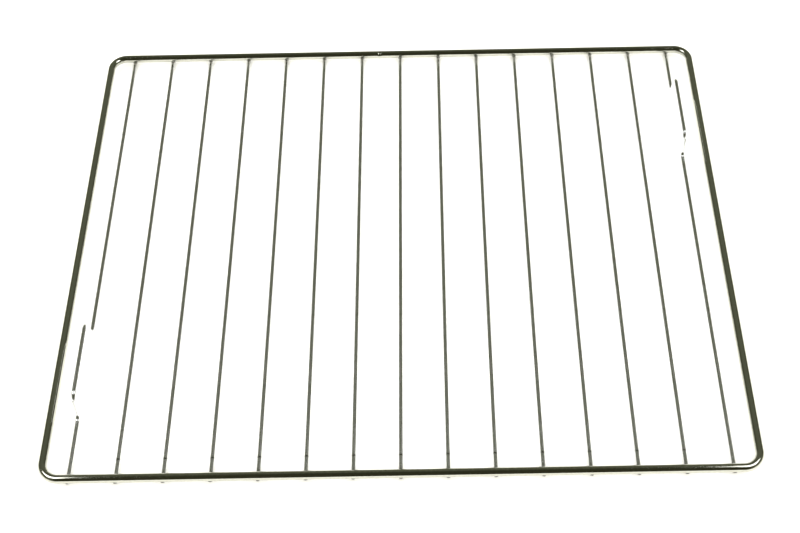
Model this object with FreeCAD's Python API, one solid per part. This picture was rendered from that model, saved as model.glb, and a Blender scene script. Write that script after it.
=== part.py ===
"""Oven shelf rack: fifteen straight wires welded under a bent frame wire, two of them raised into a stop.

X runs across the oven, Y from the door to the rear wall and Z up, in millimetres. The origin is the middle
of the plane that the rack lies on, so the undersides of the fifteen bars are at Z = 0.
"""

import FreeCAD, Part
import math
import os

V = FreeCAD.Vector
ACROSS = V(1, 0, 0)
DEEP = V(0, 1, 0)

# Frame wire
RACK_WIDTH = 444.0
RACK_DEPTH = 365.0
FRAME_WIRE = 5.5
CORNER_RADIUS = 11.0

# Butt weld that closes the frame wire on its rear run, dressed flush on the outer side
WELD_PLACE = -15.5
WELD_LENGTH = 3.2
WELD_PROUD = 0.35
WELD_INSET = 0.4

# Bars, spread evenly between two outer bars that keep their distance from the frame's sides
BAR_COUNT = 15
BAR_WIRE = 3.0
SIDE_GAP = 16.25
BAR_OVERHANG = 1.0
SET_DOWN = 0.4

# Raised stop in each outer bar
STOP_RISE = 18.0
STOP_TOP = 54.0
STOP_SLOPE_DEG = 76.0
STOP_BEND = 5.0
LEFT_STOP_FROM_FRONT = 77.0
RIGHT_STOP_FROM_REAR = 72.5

# Places that follow from the sizes
frame_radius = FRAME_WIRE / 2
bar_radius = BAR_WIRE / 2
half_width = RACK_WIDTH / 2 - frame_radius
half_depth = RACK_DEPTH / 2 - frame_radius
bar_level = bar_radius
frame_level = BAR_WIRE + frame_radius - SET_DOWN
bar_end = half_depth + BAR_OVERHANG
outer_bar = half_width - SIDE_GAP
bar_pitch = 2 * outer_bar / (BAR_COUNT - 1)


def rounded_path(points, radius, closed=False):
    """Straight runs through the points, with a tangent arc of the given radius at each corner."""
    count = len(points)
    corners = range(count) if closed else range(1, count - 1)
    arcs = {}
    for i in corners:
        back = (points[i - 1] - points[i]).normalize()
        ahead = (points[(i + 1) % count] - points[i]).normalize()
        half_angle = back.getAngle(ahead) / 2
        tangent = radius / math.tan(half_angle)
        inward = (back + ahead).normalize()
        centre = points[i] + inward * (radius / math.sin(half_angle))
        arcs[i] = (points[i] + back * tangent, centre - inward * radius, points[i] + ahead * tangent)
    edges = []
    for i in range(count if closed else count - 1):
        following = (i + 1) % count
        start = arcs[i][2] if i in arcs else points[i]
        end = arcs[following][0] if following in arcs else points[following]
        edges.append(Part.LineSegment(start, end).toShape())
        if following in arcs:
            edges.append(Part.Arc(*arcs[following]).toShape())
    return Part.Wire(edges)


def drawn_wire(path, start, along, radius):
    """Round wire swept along a path from its start."""
    section = Part.Wire([Part.makeCircle(radius, start, along)])
    return path.makePipeShell([section], True, False)


def frame_wire():
    """Thick wire bent round four corners, closed by a butt weld whose bead is dressed flush outside."""
    corners = [
        V(-half_width, half_depth, frame_level),
        V(half_width, half_depth, frame_level),
        V(half_width, -half_depth, frame_level),
        V(-half_width, -half_depth, frame_level),
    ]
    path_start = corners[0] + ACROSS * CORNER_RADIUS
    loop = drawn_wire(rounded_path(corners, CORNER_RADIUS, closed=True), path_start, ACROSS, frame_radius)
    crest = V(WELD_PLACE, half_depth - WELD_INSET, frame_level)
    crest_radius = frame_radius + WELD_PROUD
    foot_radius = frame_radius - WELD_PROUD
    for side in (-ACROSS, ACROSS):
        loop = loop.fuse(Part.makeCone(crest_radius, foot_radius, WELD_LENGTH / 2, crest, side))
    return loop


def cross_bar(place):
    """Straight bar from the front wire to the rear wire."""
    start = V(place, -bar_end, bar_level)
    return Part.makeCylinder(bar_radius, 2 * bar_end, start, DEEP)


def stop_bar(place, centre):
    """Bar that is raised over one stretch, so that the rack can't be pulled right out."""
    slope_run = STOP_RISE / math.tan(math.radians(STOP_SLOPE_DEG))
    half_top = STOP_TOP / 2
    half_foot = half_top + slope_run
    top_level = bar_level + STOP_RISE
    points = [
        V(place, -bar_end, bar_level),
        V(place, centre - half_foot, bar_level),
        V(place, centre - half_top, top_level),
        V(place, centre + half_top, top_level),
        V(place, centre + half_foot, bar_level),
        V(place, bar_end, bar_level),
    ]
    return drawn_wire(rounded_path(points, STOP_BEND), points[0], DEEP, bar_radius)


def save(name, shape):
    """Writes one piece and prints its volume."""
    shape.exportStep(f"parts/{name}.step")
    print(name, "solids", len(shape.Solids), "valid", shape.isValid(), "mm3", round(shape.Volume, 1))


os.makedirs("parts", exist_ok=True)

# The bars pass under the frame wire, and each weld sinks them into it by the set-down
frame = frame_wire()
save("frame_wire", frame)

save("stop_bar_left", stop_bar(-outer_bar, LEFT_STOP_FROM_FRONT - half_depth).cut(frame))
save("stop_bar_right", stop_bar(outer_bar, half_depth - RIGHT_STOP_FROM_REAR).cut(frame))
for number in range(1, BAR_COUNT - 1):
    save(f"cross_bar_{number:02d}", cross_bar(number * bar_pitch - outer_bar).cut(frame))
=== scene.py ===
# %% [markdown]
# # Oven shelf rack
# A welded wire shelf from an oven: fifteen thin bars under one thick frame wire, all of it plated with
# chrome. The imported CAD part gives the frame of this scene, and each of its wires is drawn again here with
# a rounder section, pressed weld places and a plated finish.

# %% The CAD part
import math
import bmesh
import bpy
from mathutils import Matrix, Vector


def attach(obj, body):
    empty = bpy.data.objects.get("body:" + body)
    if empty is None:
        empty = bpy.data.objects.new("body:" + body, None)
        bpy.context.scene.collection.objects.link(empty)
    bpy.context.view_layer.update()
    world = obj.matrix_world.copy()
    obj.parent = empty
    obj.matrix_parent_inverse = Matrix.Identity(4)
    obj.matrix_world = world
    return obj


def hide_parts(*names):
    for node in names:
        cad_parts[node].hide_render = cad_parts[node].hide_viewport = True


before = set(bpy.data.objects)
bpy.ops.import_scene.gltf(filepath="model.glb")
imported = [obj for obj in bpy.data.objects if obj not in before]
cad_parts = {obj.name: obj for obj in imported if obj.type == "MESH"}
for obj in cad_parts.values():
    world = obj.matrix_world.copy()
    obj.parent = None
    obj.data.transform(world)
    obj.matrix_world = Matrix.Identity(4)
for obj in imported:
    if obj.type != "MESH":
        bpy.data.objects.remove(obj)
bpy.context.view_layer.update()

# %% [markdown]
# ## Sizes of the rack
# Lengths are in metres, so a millimetre has a name of its own. A few sizes drive all the others: the bars
# lie on the floor, the frame wire lies on the bars, and each weld sinks the two into each other a little.

# %% Sizes of the rack
MM = 0.001
RACK_WIDTH = 444 * MM
RACK_DEPTH = 365 * MM
FRAME_RADIUS = 2.75 * MM
BAR_RADIUS = 1.5 * MM
BAR_COUNT = 15
SIDE_GAP = 16.25 * MM
BAR_OVERHANG = 1 * MM
SET_DOWN = 0.4 * MM

half_width = RACK_WIDTH / 2 - FRAME_RADIUS
half_depth = RACK_DEPTH / 2 - FRAME_RADIUS
frame_level = 2 * BAR_RADIUS + FRAME_RADIUS - SET_DOWN
bar_end = half_depth + BAR_OVERHANG
outer_bar = half_width - SIDE_GAP
bar_pitch = 2 * outer_bar / (BAR_COUNT - 1)
print(BAR_COUNT, "bars,", round(bar_pitch, 4), "m apart, under a frame wire at", round(frame_level, 5), "m")

# %% [markdown]
# ## A drawn wire
# Wire is made by pulling a rod through a round hole, and a rack's wires are then bent round pins. The same
# two moves make the mesh: a ring of edges is extruded straight ahead, or spun round the pin's axis. A curve
# with a bevel would be shorter, but the ring keeps an even spacing in the bends, and each vertex can also
# remember where it was in the straight wire. That is the attribute `unbent`: its XY is the section and its Z
# the length along the wire, so that drawing lines can follow the wire round every bend without a seam.

# %% Wire tools
X_AXIS = Vector((1, 0, 0))
Y_AXIS = Vector((0, 1, 0))
Z_AXIS = Vector((0, 0, 1))
GUARD = 0.25 * MM


class DrawnWire:
    """A round wire that grows from a ring of edges, straight ahead or round a pin."""

    def __init__(self, start, heading, radius, sides):
        self.bm = bmesh.new()
        self.unbent = self.bm.verts.layers.float_vector.new("unbent")
        self.pinch = self.bm.verts.layers.float.new("pinch")
        self.place = start.copy()
        self.heading = heading.copy()
        self.radius = radius
        self.length = 0.0
        self.verts = bmesh.ops.create_circle(self.bm, segments=sides, radius=radius)["verts"]
        for vert in self.verts:
            vert[self.unbent] = vert.co
        turn = heading.to_track_quat("Z", "Y").to_matrix()
        bmesh.ops.rotate(self.bm, verts=self.verts, cent=(0, 0, 0), matrix=turn)
        bmesh.ops.translate(self.bm, verts=self.verts, vec=start)
        self.edges = list(self.bm.edges)
        self.first = list(self.edges)

    def keep(self, geom):
        """Makes the newest ring the wire's end and notes its length along the wire."""
        old = set(self.verts)
        self.verts = [e for e in geom if isinstance(e, bmesh.types.BMVert) and e not in old]
        ring = set(self.verts)
        self.edges = [e for e in geom if isinstance(e, bmesh.types.BMEdge) and set(e.verts) <= ring]
        for vert in self.verts:
            across = vert[self.unbent]
            vert[self.unbent] = (across.x, across.y, self.length)

    def draw(self, length):
        """Pulls the end straight ahead; a ring near each end keeps a bend's shading out of the run."""
        for part in (GUARD, length - 2 * GUARD, GUARD):
            self.pull(part)

    def pull(self, length, radius=None):
        """Pulls the end one step ahead, to another radius if one is given."""
        geom = bmesh.ops.extrude_edge_only(self.bm, edges=self.edges)["geom"]
        self.length += length
        self.place += self.heading * length
        self.keep(geom)
        bmesh.ops.translate(self.bm, verts=self.verts, vec=self.heading * length)
        if radius is not None and radius != self.radius:
            grow = Vector.Fill(3, radius / self.radius)
            bmesh.ops.scale(self.bm, verts=self.verts, vec=grow, space=Matrix.Translation(-self.place))
            self.radius = radius

    def bend(self, axis, bend_radius, angle, steps):
        """Spins the end round a pin that stands along the axis, to the left of the heading."""
        step = angle / steps
        pin = self.place + axis.cross(self.heading) * bend_radius
        turn = Matrix.Rotation(step, 3, axis)
        for _ in range(steps):
            end = self.verts + self.edges
            spun = bmesh.ops.spin(self.bm, geom=end, cent=pin, axis=axis, angle=step, steps=1)
            self.length += bend_radius * step
            self.place = pin + turn @ (self.place - pin)
            self.heading = turn @ self.heading
            self.keep(spun["geom_last"])

    def cap(self):
        """Closes both ends."""
        bmesh.ops.contextual_create(self.bm, geom=self.first)
        bmesh.ops.contextual_create(self.bm, geom=self.edges)


print("a wire is drawn, bent and capped, with a guard ring", GUARD, "m from each end of a run")

# %% [markdown]
# ## A finished piece
# Each wire becomes one object at the origin, and so does the weld flash as a whole. A piece rides on the
# rack's one rigid body and names the finish that it takes. A wire also stands for its own CAD node.

# %% Finished piece
SHARP_ANGLE = math.radians(42)


def finished(name, bm, material, node=None):
    """Turns a bmesh into a piece of the rack that rides on its body and takes a finish."""
    bmesh.ops.recalc_face_normals(bm, faces=bm.faces)
    mesh = bpy.data.meshes.new(name)
    bm.to_mesh(mesh)
    bm.free()
    mesh.polygons.foreach_set("use_smooth", [True] * len(mesh.polygons))
    mesh.set_sharp_from_angle(angle=SHARP_ANGLE)
    mesh.materials.append(material)
    piece = bpy.data.objects.new(name, mesh)
    bpy.context.scene.collection.objects.link(piece)
    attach(piece, "root")
    if node:
        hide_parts(node)
    return piece


print("edges over", round(math.degrees(SHARP_ANGLE)), "degrees stay sharp")

# %% [markdown]
# ## Node tools
# A colour is written as the hex value that a screen shows, and one function turns it into linear light. One
# small function adds a node with its settings and its links, so that a finish reads as a list of its nodes.

# %% Node tools
def linear(hex_colour):
    """Turns an sRGB hex colour into the linear values that Blender's sockets take."""
    channels = [int(hex_colour[i:i + 2], 16) / 255 for i in (1, 3, 5)]
    return tuple(c / 12.92 if c <= 0.04045 else ((c + 0.055) / 1.055) ** 2.4 for c in channels) + (1.0,)


def add(tree, kind, inputs=None, **settings):
    """Adds one node with its settings; an input is a value, a hex colour or another node's output socket."""
    node = tree.nodes.new(kind)
    for field, value in settings.items():
        setattr(node, field, value)
    for socket, value in (inputs or {}).items():
        if isinstance(value, bpy.types.NodeSocket):
            tree.links.new(value, node.inputs[socket])
        elif isinstance(value, str):
            node.inputs[socket].default_value = linear(value)
        else:
            node.inputs[socket].default_value = value
    return node


def empty_material(name):
    """A material whose node tree is still empty."""
    material = bpy.data.materials.new(name)
    material.use_nodes = True
    material.node_tree.nodes.clear()
    return material


print("the grey #808080 is", round(linear("#808080")[0], 3), "in linear light")

# %% [markdown]
# ## Chrome plating
# The rack is low-carbon steel wire, drawn, welded and then plated with nickel and a thin layer of chrome.
# Chrome has hardly a colour of its own: it shows the room, a little darker. What tells the eye that it is
# plated wire is the faint lines left by drawing and a slight cloudiness of the plating. Both are procedural.
# Real drawing lines are about 0.05 mm wide, too fine to show here, so they are drawn ten times as wide. Dark
# flecks of painted shade lie where the bars pass under the frame wire, and they are strong on the bars' ends.
# The frame wire's front and rear runs carry all the welds. They get the same painted shade from end to end,
# but faintly, so they look darker than the side runs.

# %% Chrome on drawn steel wire
LINE_WIDTH = 0.5 * MM
LINE_LENGTH = 45 * MM
LINE_SPAN = {"From Min": 0.3, "From Max": 0.7}
LINE_DEPTH = 0.02 * MM
LINE_STRENGTH = 0.05
CLOUD_SIZE = 14 * MM
FLECK_SIZE = 1.6 * MM
FLECK_SPAN = {"From Min": 0.3, "From Max": 0.6}
FLECK_SHARE = 0.8
FLECK_REACH = 9 * MM
PINCH_GREY = "#6a6a5c"
SOFT_STEP = {"interpolation_type": "SMOOTHSTEP"}

fleck_start = half_depth - FLECK_REACH


def chrome_on_wire(name, bright, clouded, painted_shade_colour, smooth, rough):
    """Bright plating on drawn wire: faint lines, clouds, painted shade by the frame's front and rear runs."""
    material = empty_material(name)
    tree = material.node_tree
    unbent = add(tree, "ShaderNodeAttribute", attribute_name="unbent").outputs["Vector"]
    spacing = (1 / LINE_WIDTH, 1 / LINE_WIDTH, 1 / LINE_LENGTH)
    stretched = add(tree, "ShaderNodeMapping", {"Vector": unbent, "Scale": spacing}).outputs["Vector"]
    lines = add(tree, "ShaderNodeTexNoise", {"Vector": stretched, "Scale": 1.0, "Detail": 2.0}).outputs[0]
    place = add(tree, "ShaderNodeTexCoord").outputs["Object"]
    cloudy = {"Vector": place, "Scale": 1 / CLOUD_SIZE, "Detail": 3.0}
    clouds = add(tree, "ShaderNodeTexNoise", cloudy).outputs[0]
    speckled = {"Vector": place, "Scale": 1 / FLECK_SIZE, "Detail": 1.0}
    speckle = add(tree, "ShaderNodeTexNoise", speckled).outputs[0]

    # Painted shade: dark flecks within reach of the frame wire's front and rear runs, where it shades the
    # bars.
    depth = add(tree, "ShaderNodeSeparateXYZ", {0: place}).outputs["Y"]
    off_centre = add(tree, "ShaderNodeMath", {0: depth}, operation="ABSOLUTE").outputs[0]
    reach = {"Value": off_centre, "From Min": fleck_start, "From Max": half_depth, "To Max": FLECK_SHARE}
    nearness = add(tree, "ShaderNodeMapRange", reach, **SOFT_STEP).outputs[0]
    flecks = add(tree, "ShaderNodeMapRange", {"Value": speckle, **FLECK_SPAN}).outputs[0]
    painted_shade_mask = add(tree, "ShaderNodeMath", {0: nearness, 1: flecks}, operation="MULTIPLY").outputs[0]
    pinched = add(tree, "ShaderNodeAttribute", attribute_name="pinch").outputs["Fac"]

    plating = add(tree, "ShaderNodeMix", {0: clouds, 6: bright, 7: clouded}, data_type="RGBA").outputs[2]
    plating_with_painted_shade = add(tree, "ShaderNodeMix", {0: painted_shade_mask, 6: plating, 7: painted_shade_colour}, data_type="RGBA").outputs[2]
    colour = add(tree, "ShaderNodeMix", {0: pinched, 6: plating_with_painted_shade, 7: PINCH_GREY}, data_type="RGBA").outputs[2]
    sheen = {"Value": lines, **LINE_SPAN, "To Min": smooth, "To Max": rough}
    roughness = add(tree, "ShaderNodeMapRange", sheen).outputs[0]
    relief = {"Strength": LINE_STRENGTH, "Distance": LINE_DEPTH, "Height": lines}
    normal = add(tree, "ShaderNodeBump", relief).outputs[0]
    surface = {"Base Color": colour, "Metallic": 1.0, "Roughness": roughness, "Normal": normal}
    shader = add(tree, "ShaderNodeBsdfPrincipled", surface)
    add(tree, "ShaderNodeOutputMaterial", {"Surface": shader.outputs[0]})
    return material


# The third colour of each finish is the painted shade near the frame wire's front and rear runs.
frame_chrome = chrome_on_wire(
    "chrome on drawn frame wire",
    bright="#c8c9bf", clouded="#bcbdb3", painted_shade_colour="#b4b2a8", smooth=0.05, rough=0.11,
)
bar_chrome = chrome_on_wire(
    "chrome on drawn bar wire",
    bright="#e8e9ea", clouded="#dedfe0", painted_shade_colour="#7d7a6c", smooth=0.2, rough=0.3,
)
print("materials:", frame_chrome.name, "and", bar_chrome.name)

# %% [markdown]
# ## Frame wire
# One wire of 5.5 mm goes right round the rack. It is bent round a pin at each corner, and its two ends meet
# in a butt weld on the rear run. It could be put together from four cylinders and four quarter rings, but
# then eight seams would have to be closed. So the mesh is made as the wire is: it starts at the weld, runs
# round the four corners and comes back, and only the first and last ring are merged.

# %% Frame wire
CORNER_RADIUS = 11 * MM
CORNER_STEPS = 20
FRAME_SIDES = 56
WELD_PLACE = -15.5 * MM
BEAD_STEP = 0.45 * MM
BEAD_GROWTH = (1.055, 1.047, 1.025, 1.006)
MERGE_DISTANCE = 0.01 * MM

weld_middle = Vector((WELD_PLACE, half_depth, frame_level))
bead_half = BEAD_STEP * len(BEAD_GROWTH)
long_run = 2 * (half_width - CORNER_RADIUS)
short_run = 2 * (half_depth - CORNER_RADIUS)
last_run = half_width - WELD_PLACE - CORNER_RADIUS - bead_half

wire = DrawnWire(weld_middle, -X_AXIS, FRAME_RADIUS, FRAME_SIDES)
for _ in BEAD_GROWTH:
    wire.pull(BEAD_STEP)
wire.draw(half_width + WELD_PLACE - CORNER_RADIUS - bead_half)
for run in (short_run, long_run, short_run, last_run):
    wire.bend(Z_AXIS, CORNER_RADIUS, math.pi / 2, CORNER_STEPS)
    wire.draw(run)
for _ in BEAD_GROWTH:
    wire.pull(BEAD_STEP)
bmesh.ops.remove_doubles(wire.bm, verts=wire.bm.verts, dist=MERGE_DISTANCE)
print("frame wire:", round(wire.length, 4), "m of wire")

# %% [markdown]
# ## Butt weld
# The two ends were pressed together hot, which leaves a low bead. A separate bead would meet the wire in a
# hard edge, so the wire's own rings are swollen a little, most in the middle. They are also moved in, because
# the bead is dressed flush on the side that goes to the oven's rear wall.

# %% Butt weld
BEAD_INSET = 0.2 * MM
RING_TOLERANCE = 0.05 * MM

rear_run = [v for v in wire.bm.verts if v.co.y > half_depth - CORNER_RADIUS / 2]
for step, growth in enumerate(BEAD_GROWTH):
    ring = [v for v in rear_run if abs(abs(v.co.x - WELD_PLACE) - step * BEAD_STEP) < RING_TOLERANCE]
    swell = (1, growth, growth)
    inset = BEAD_INSET * (growth - 1) / (BEAD_GROWTH[0] - 1)
    bmesh.ops.scale(wire.bm, verts=ring, vec=swell, space=Matrix.Translation(-weld_middle))
    bmesh.ops.translate(wire.bm, verts=ring, vec=(0, -inset, 0))
frame_piece = finished("frame_wire_plated", wire.bm, frame_chrome, "frame_wire")
print("frame wire with its weld:", len(frame_piece.data.polygons), "faces")

# %% [markdown]
# ## Weld places on the bars
# Each bar lies under the frame wire and is joined to it by resistance welding: current and pressure sink the
# two wires into each other by about 0.4 mm, and a little metal is squeezed out at the sides. So the bar's top
# is pressed down to the underside of the frame wire. A boolean would cut the same saddle, but it leaves thin
# faces that shade badly. Here the bar gets closely spaced rings, and a vertex that would be inside the frame
# wire is lowered to its surface. The cut tip beyond the weld is slightly rounded by the plating.

# %% Bar ends
BAR_SIDES = 32
TIP_RADII = (1.22 * MM, 1.36 * MM, 1.46 * MM, BAR_RADIUS)
TIP_STEPS = (0.06 * MM, 0.09 * MM, 0.15 * MM)
SADDLE_STEPS = 9
SADDLE_PITCH = 0.3 * MM

saddle_start = bar_end - sum(TIP_STEPS) - SADDLE_STEPS * SADDLE_PITCH


def start_bar(across):
    """A bar's front tip and the rings under the front wire."""
    bar = DrawnWire(Vector((across, -bar_end, BAR_RADIUS)), Y_AXIS, TIP_RADII[0], BAR_SIDES)
    for length, radius in zip(TIP_STEPS, TIP_RADII[1:]):
        bar.pull(length, radius)
    for _ in range(SADDLE_STEPS):
        bar.pull(SADDLE_PITCH)
    return bar


def end_bar(bar):
    """The rest of the run, the rings under the rear wire, the rear tip and both saddles."""
    bar.draw(saddle_start - bar.place.y)
    for _ in range(SADDLE_STEPS):
        bar.pull(SADDLE_PITCH)
    for length, radius in zip(reversed(TIP_STEPS), TIP_RADII[-2::-1]):
        bar.pull(length, radius)
    bar.cap()
    for vert in bar.bm.verts:
        off = abs(vert.co.y) - half_depth
        if abs(off) < FRAME_RADIUS:
            underside = frame_level - math.sqrt(FRAME_RADIUS ** 2 - off ** 2)
            vert.co.z = min(vert.co.z, underside)


print("saddle:", SADDLE_STEPS, "rings of", SADDLE_PITCH, "m at each end of a bar")

# %% [markdown]
# ## Straight bars
# Thirteen bars run straight from front to rear. Each has a small dark grey spot on top, 14.5 mm behind the
# middle of the front wire. Bump would show a dent there in a render but not in the mesh, so it is a shallow
# dent: the top of a few rings is pressed down, most at the middle one. The attribute `pinch` tells the finish
# where the dent is, and the finish colours it dark grey.

# %% Straight bars
PINCH_FROM_FRONT = 14.5 * MM
PINCH_STEPS = 8
PINCH_PITCH = 0.16 * MM
PINCH_DEPTH = 0.03 * MM
PINCH_FADE = 0.5

pinch_place = PINCH_FROM_FRONT - half_depth
pinch_half = PINCH_STEPS / 2 * PINCH_PITCH


def press_pinch_mark(bar):
    """Dents the top of the rings near the pinch place, and notes how deep they are in the mark."""
    for vert in bar.bm.verts:
        nearness = 1 - abs(vert.co.y - pinch_place) / pinch_half
        upward = (vert.co.z - BAR_RADIUS) / BAR_RADIUS
        if nearness > 0 and upward > 0:
            vert[bar.pinch] = min(1.0, nearness / PINCH_FADE) * upward
            vert.co.z -= PINCH_DEPTH * math.sin(nearness * math.pi / 2) * upward


for number in range(1, BAR_COUNT - 1):
    bar = start_bar(number * bar_pitch - outer_bar)
    bar.draw(pinch_place - pinch_half - bar.place.y)
    for _ in range(PINCH_STEPS):
        bar.pull(PINCH_PITCH)
    end_bar(bar)
    press_pinch_mark(bar)
    name = f"cross_bar_{number:02d}"
    finished(name + "_plated", bar.bm, bar_chrome, name)
print(BAR_COUNT - 2, "straight bars")

# %% [markdown]
# ## Bars with a raised stop
# The two outer bars are bent up into a stop, near the front at the left and near the rear at the right. A
# stop meets a stud in the oven's wall, so that the shelf can't be pulled right out by mistake. Four bends
# make it: up, level, down and level again, each spun at a radius of 5 mm to the middle of the wire.

# %% Bars with a raised stop
STOP_RISE = 18 * MM
STOP_TOP = 54 * MM
STOP_SLOPE = math.radians(76)
STOP_BEND = 5 * MM
STOP_STEPS = 14
LEFT_STOP_FROM_FRONT = 77 * MM
RIGHT_STOP_FROM_REAR = 72.5 * MM

tangent = STOP_BEND * math.tan(STOP_SLOPE / 2)
half_foot = STOP_TOP / 2 + STOP_RISE / math.tan(STOP_SLOPE)
slope_run = STOP_RISE / math.sin(STOP_SLOPE) - 2 * tangent
top_run = STOP_TOP - 2 * tangent
stops = {
    "left": (-outer_bar, LEFT_STOP_FROM_FRONT - half_depth),
    "right": (outer_bar, half_depth - RIGHT_STOP_FROM_REAR),
}
for side, (across, middle) in stops.items():
    bar = start_bar(across)
    bar.draw(middle - half_foot - tangent - bar.place.y)
    for axis, run in ((X_AXIS, slope_run), (-X_AXIS, top_run), (-X_AXIS, slope_run)):
        bar.bend(axis, STOP_BEND, STOP_SLOPE, STOP_STEPS)
        bar.draw(run)
    bar.bend(X_AXIS, STOP_BEND, STOP_SLOPE, STOP_STEPS)
    end_bar(bar)
    name = f"stop_bar_{side}"
    piece = finished(name + "_plated", bar.bm, bar_chrome, name)
    print(piece.name, "is", round(max(v.co.z for v in piece.data.vertices), 4), "m high")

# %% [markdown]
# ## Weld flash
# The metal squeezed out of each weld stands round it as a small rim. A true fillet between two wires that
# cross takes many faces, and here it would be about a pixel wide. So thirty squashed spheres give the rim,
# one at each crossing, and each reaches just past the place where the two wires meet.

# %% Weld flash
FLASH_HALF = Vector((2.0, 2.3, 0.75)) * MM
FLASH_LEVEL = 2.7 * MM
FLASH_SEGMENTS = 14
FLASH_RINGS = 7

flash = bmesh.new()
squash = Matrix.Diagonal((*FLASH_HALF, 1))
for row in (-half_depth, half_depth):
    for number in range(BAR_COUNT):
        spot = Vector((number * bar_pitch - outer_bar, row, FLASH_LEVEL))
        bmesh.ops.create_uvsphere(
            flash, u_segments=FLASH_SEGMENTS, v_segments=FLASH_RINGS, radius=1,
            matrix=Matrix.Translation(spot) @ squash,
        )
flash_piece = finished("weld_flash", flash, bar_chrome)
print("weld flash at", 2 * BAR_COUNT, "crossings:", len(flash_piece.data.polygons), "faces")

# %% [markdown]
# ## Floor
# A board of matt white laminate lies under the rack. Such a face scatters light evenly, so it shows no glint
# and only a faint mottle. It is far larger than the rack, so that a view from low down still looks over the
# board and not past its edge.

# %% Floor
FLOOR_SIZE = 24.0
MOTTLE_SIZE = 83.3 * MM
BOARD_LIGHT = "#f7f6f2"
BOARD_DARK = "#f1efe9"
BOARD_ROUGHNESS = 0.85
BOARD_SHINE = 0.2

floor_bm = bmesh.new()
bmesh.ops.create_grid(floor_bm, x_segments=2, y_segments=2, size=FLOOR_SIZE / 2)
floor_mesh = bpy.data.meshes.new("board")
floor_bm.to_mesh(floor_mesh)
floor_bm.free()
board = empty_material("matt white laminate board")
tree = board.node_tree
place = add(tree, "ShaderNodeTexCoord").outputs["Object"]
mottled = {"Vector": place, "Scale": 1 / MOTTLE_SIZE, "Detail": 2.0}
mottle = add(tree, "ShaderNodeTexNoise", mottled).outputs[0]
colour = add(tree, "ShaderNodeMix", {0: mottle, 6: BOARD_LIGHT, 7: BOARD_DARK}, data_type="RGBA").outputs[2]
surface = {"Base Color": colour, "Roughness": BOARD_ROUGHNESS, "Specular IOR Level": BOARD_SHINE}
shader = add(tree, "ShaderNodeBsdfPrincipled", surface)
add(tree, "ShaderNodeOutputMaterial", {"Surface": shader.outputs[0]})
floor_mesh.materials.append(board)
floor = bpy.data.objects.new("floor", floor_mesh)
bpy.context.scene.collection.objects.link(floor)
print("floor:", FLOOR_SIZE, "m square")

# %% [markdown]
# ## Soft lights
# Plated wire is only as good as what it reflects. Two softboxes hang over the left and right side of the
# rack, and only they show in the chrome, as white glints where a bend looks up at them. Four low fill lights
# and an even light from the ceiling are kept out of the chrome: they whiten the board and lift the shadows.
# Powers are in watts, and the ceiling's is in watts on each square metre.

# %% Soft lights
LIGHT_HEIGHT = 1.5
SOFTBOX_POWER = 10.0
SOFTBOX_SIZE = (0.8, 0.85)
SOFTBOX_DEPTH = -0.1
SOFTBOXES = {"left softbox": -1.01, "right softbox": 0.94}
FILL_POWER = 13.0
FILL_SIZE = (2.4, 0.7)
FILL_HEIGHT = 0.75
FILL_AWAY = 1.3
FILLS = {"front fill": (0, -1), "rear fill": (0, 1), "left fill": (-1, 0), "right fill": (1, 0)}
CEILING_POWER = 2.4
CEILING_ANGLE = math.radians(150)


def hang(lamp, place, aim, mirrored):
    """Hangs a lamp that faces a point; a lamp that isn't mirrored stays out of the chrome."""
    holder = bpy.data.objects.new(lamp.name, lamp)
    holder.location = place
    holder.rotation_euler = (Vector(aim) - Vector(place)).to_track_quat("-Z", "Y").to_euler()
    holder.visible_glossy = mirrored
    bpy.context.scene.collection.objects.link(holder)


def soft_lamp(name, power, size):
    """A rectangular lamp."""
    lamp = bpy.data.lights.new(name, "AREA")
    lamp.shape = "RECTANGLE"
    lamp.size, lamp.size_y = size
    lamp.energy = power
    return lamp


for name, across in SOFTBOXES.items():
    lamp = soft_lamp(name, SOFTBOX_POWER, SOFTBOX_SIZE)
    hang(lamp, (across, SOFTBOX_DEPTH, LIGHT_HEIGHT), (across, SOFTBOX_DEPTH, 0), True)
for name, (across, away) in FILLS.items():
    lamp = soft_lamp(name, FILL_POWER, FILL_SIZE)
    hang(lamp, (across * FILL_AWAY, away * FILL_AWAY, FILL_HEIGHT), (0, 0, 0), False)
ceiling = bpy.data.lights.new("white ceiling", "SUN")
ceiling.energy = CEILING_POWER
ceiling.angle = CEILING_ANGLE
hang(ceiling, (0, 0, LIGHT_HEIGHT), (0, 0, 0), False)
print(len(SOFTBOXES), "softboxes,", len(FILLS), "fill lights and a white ceiling")

# %% [markdown]
# ## Room
# The straight wires mirror the room, and show as dark lines on the white board because it is a quiet
# grey-green. It is lighter straight behind the rack, most of all low down, and in its two front corners. It
# is dark at the sides and towards the viewer. The blends read the direction in which a ray leaves the rack.

# %% Room
REARWARD = {"From Min": -0.1, "From Max": 0.6}
CENTRAL = {"From Min": 0.4, "From Max": 0.85, "To Min": 1.0, "To Max": 0.3}
LOW_DOWN = {"From Min": 0.0, "From Max": 0.55, "To Min": 1.0, "To Max": 0.0}
CORNERS = {"From Min": 0.3, "From Max": 0.75}
WALL_HIGH = "#6b6d5c"
WALL_LOW = "#8c8e79"
ROOM_DARK = "#3e3f2e"
ROOM_CORNERS = "#7c7d6a"

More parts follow.
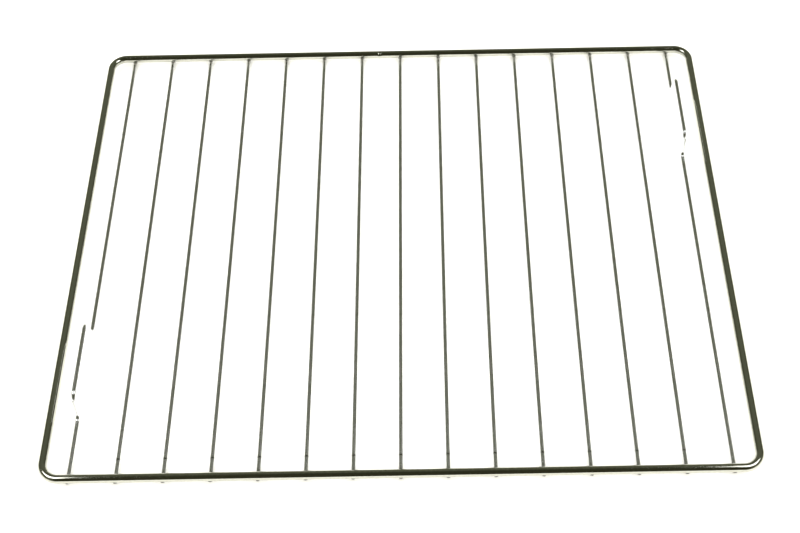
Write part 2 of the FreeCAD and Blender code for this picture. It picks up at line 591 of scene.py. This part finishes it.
room = bpy.data.worlds.new("quiet grey room")
bpy.context.scene.world = room
room.use_nodes = True
tree = room.node_tree
tree.nodes.clear()
toward = add(tree, "ShaderNodeTexCoord").outputs["Generated"]
split = add(tree, "ShaderNodeSeparateXYZ", {0: toward}).outputs
sideways = add(tree, "ShaderNodeMath", {0: split["X"]}, operation="ABSOLUTE").outputs[0]
rearward = add(tree, "ShaderNodeMapRange", {"Value": split["Y"], **REARWARD}, **SOFT_STEP).outputs[0]
central = add(tree, "ShaderNodeMapRange", {"Value": sideways, **CENTRAL}, **SOFT_STEP).outputs[0]
low_down = add(tree, "ShaderNodeMapRange", {"Value": split["Z"], **LOW_DOWN}, **SOFT_STEP).outputs[0]
corners = add(tree, "ShaderNodeMapRange", {"Value": sideways, **CORNERS}, **SOFT_STEP).outputs[0]
behind = add(tree, "ShaderNodeMath", {0: rearward, 1: central}, operation="MULTIPLY").outputs[0]
front = add(tree, "ShaderNodeMix", {0: corners, 6: ROOM_DARK, 7: ROOM_CORNERS}, data_type="RGBA").outputs[2]
around = add(tree, "ShaderNodeMix", {0: rearward, 6: front, 7: ROOM_DARK}, data_type="RGBA").outputs[2]
wall = add(tree, "ShaderNodeMix", {0: low_down, 6: WALL_HIGH, 7: WALL_LOW}, data_type="RGBA").outputs[2]
colour = add(tree, "ShaderNodeMix", {0: behind, 6: around, 7: wall}, data_type="RGBA").outputs[2]
glow = add(tree, "ShaderNodeBackground", {"Color": colour})
add(tree, "ShaderNodeOutputWorld", {"Surface": glow.outputs[0]})
print("room:", room.name)

# %% [markdown]
# ## Camera
# The camera stands in front of the rack and looks down at it steeply. Its place, direction and focal length
# come from matching the rack's corners, bars and stops to the reference view, with a small shift to frame the
# rack as there. The plain view transform keeps the board white.

# %% Camera
CAMERA_PLACE = Vector((19.54, -574.8, 741.92)) * MM
PITCH = math.radians(53.16)
YAW = math.radians(0.385)
ROLL = math.radians(-1.31)
LENS = 61.34
SENSOR_WIDTH = 36.0
SHIFT_X = -0.0298
SHIFT_Y = -0.0006

right = Vector((math.cos(YAW), math.sin(YAW), 0))
level_ahead = Vector((-math.sin(YAW), math.cos(YAW), 0))
ahead = level_ahead * math.cos(PITCH) - Z_AXIS * math.sin(PITCH)
above = right.cross(ahead)
rolled_right = right * math.cos(ROLL) + above * math.sin(ROLL)
rolled_above = above * math.cos(ROLL) - right * math.sin(ROLL)
turn = Matrix((rolled_right, rolled_above, -ahead)).transposed()

camera = bpy.data.objects.new("camera", bpy.data.cameras.new("camera"))
camera.data.lens = LENS
camera.data.sensor_width = SENSOR_WIDTH
camera.data.shift_x = SHIFT_X
camera.data.shift_y = SHIFT_Y
camera.matrix_world = Matrix.Translation(CAMERA_PLACE) @ turn.to_4x4()
bpy.context.scene.collection.objects.link(camera)
bpy.context.scene.camera = camera
bpy.context.scene.view_settings.view_transform = "Standard"
print("camera at", [round(c, 3) for c in CAMERA_PLACE])
